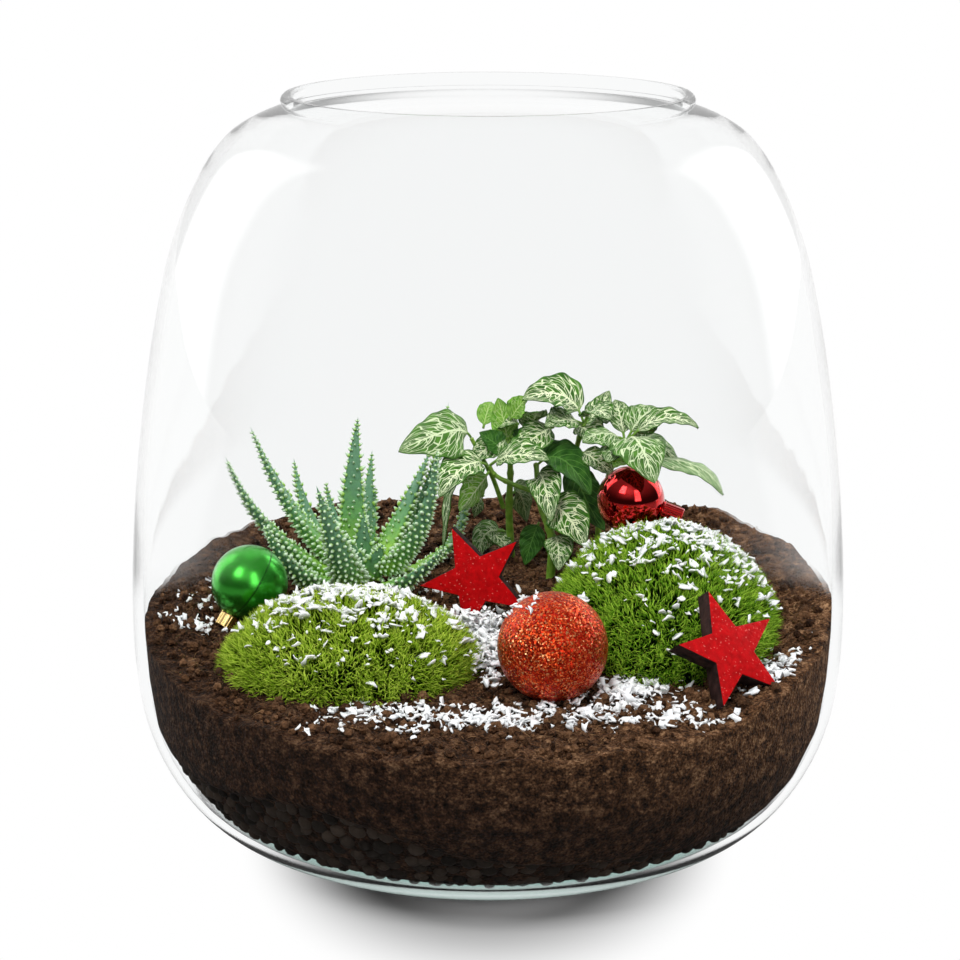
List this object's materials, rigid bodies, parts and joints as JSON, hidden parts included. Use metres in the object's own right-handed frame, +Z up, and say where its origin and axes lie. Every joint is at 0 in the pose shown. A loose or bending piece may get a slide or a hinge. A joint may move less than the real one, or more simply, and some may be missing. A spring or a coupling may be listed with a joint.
{
  "type": "glass plant terrarium",
  "caption": "Rounded clear glass vessel with a beaded rim, planted with a small aloe, a veined fittonia and moss cushions on soil, dressed with baubles, wooden stars and snow flakes.",
  "frame": {"origin": "on the vessel's axis, in the plane that its foot ring stands on", "axes": "+Z up along the vessel's axis; -Y is the front, where the soil lies lower and the ornaments stand"},
  "size_m": [0.24, 0.24, 0.2458],
  "materials": {
    "clear_glass": "polished",
    "gravel": "matte",
    "soil": "matte",
    "aloe_leaf": "satin",
    "fittonia_stem": "satin",
    "fittonia_leaf": "satin",
    "moss": "matte",
    "snow": "matte",
    "red_glitter": "gloss",
    "green_satin": "satin",
    "gold_cap": "gloss",
    "red_mirror": "polished",
    "red_star": "satin"
  },
  "bodies": {
    "root": {"aloe_core": "aloe_leaf", "aloe_leaf_01": "aloe_leaf", "aloe_leaf_02": "aloe_leaf", "aloe_leaf_03": "aloe_leaf", "aloe_leaf_04": "aloe_leaf", "aloe_leaf_05": "aloe_leaf", "aloe_leaf_06": "aloe_leaf", "aloe_leaf_07": "aloe_leaf", "aloe_leaf_08": "aloe_leaf", "aloe_leaf_09": "aloe_leaf", "aloe_leaf_10": "aloe_leaf", "aloe_leaf_11": "aloe_leaf", "aloe_leaf_12": "aloe_leaf", "aloe_leaf_13": "aloe_leaf", "drainage_gravel": "gravel", "fittonia_leaf_01": "fittonia_leaf", "fittonia_leaf_02": "fittonia_leaf", "fittonia_leaf_03": "fittonia_leaf", "fittonia_leaf_04": "fittonia_leaf", "fittonia_leaf_05": "fittonia_leaf", "fittonia_leaf_06": "fittonia_leaf", "fittonia_leaf_07": "fittonia_leaf", "fittonia_leaf_08": "fittonia_leaf", "fittonia_leaf_09": "fittonia_leaf", "fittonia_leaf_10": "fittonia_leaf", "fittonia_leaf_11": "fittonia_leaf", "fittonia_leaf_12": "fittonia_leaf", "fittonia_leaf_13": "fittonia_leaf", "fittonia_leaf_14": "fittonia_leaf", "fittonia_leaf_15": "fittonia_leaf", "fittonia_leaf_16": "fittonia_leaf", "fittonia_leaf_17": "fittonia_leaf", "fittonia_leaf_18": "fittonia_leaf", "fittonia_leaf_19": "fittonia_leaf", "fittonia_leaf_20": "fittonia_leaf", "fittonia_leaf_21": "fittonia_leaf", "fittonia_leaf_22": "fittonia_leaf", "fittonia_leaf_23": "fittonia_leaf", "fittonia_leaf_24": "fittonia_leaf", "fittonia_leaf_25": "fittonia_leaf", "fittonia_leaf_26": "fittonia_leaf", "fittonia_leaf_27": "fittonia_leaf", "fittonia_shoot_back": "fittonia_stem", "fittonia_shoot_front": "fittonia_stem", "fittonia_shoot_front_side": "fittonia_stem", "fittonia_shoot_left": "fittonia_stem", "fittonia_shoot_left_side": "fittonia_stem", "fittonia_shoot_right": "fittonia_stem", "glass_vessel": "clear_glass", "glitter_ball": "red_glitter", "mirror_ball": "red_mirror", "mirror_cap": "red_mirror", "moss_left": "moss", "moss_right": "moss", "potting_soil": "soil", "satin_ball": "green_satin", "satin_cap": "gold_cap", "snow_drift": "snow", "star_left": "red_star", "star_right": "red_star"}
  },
  "joints": []
}
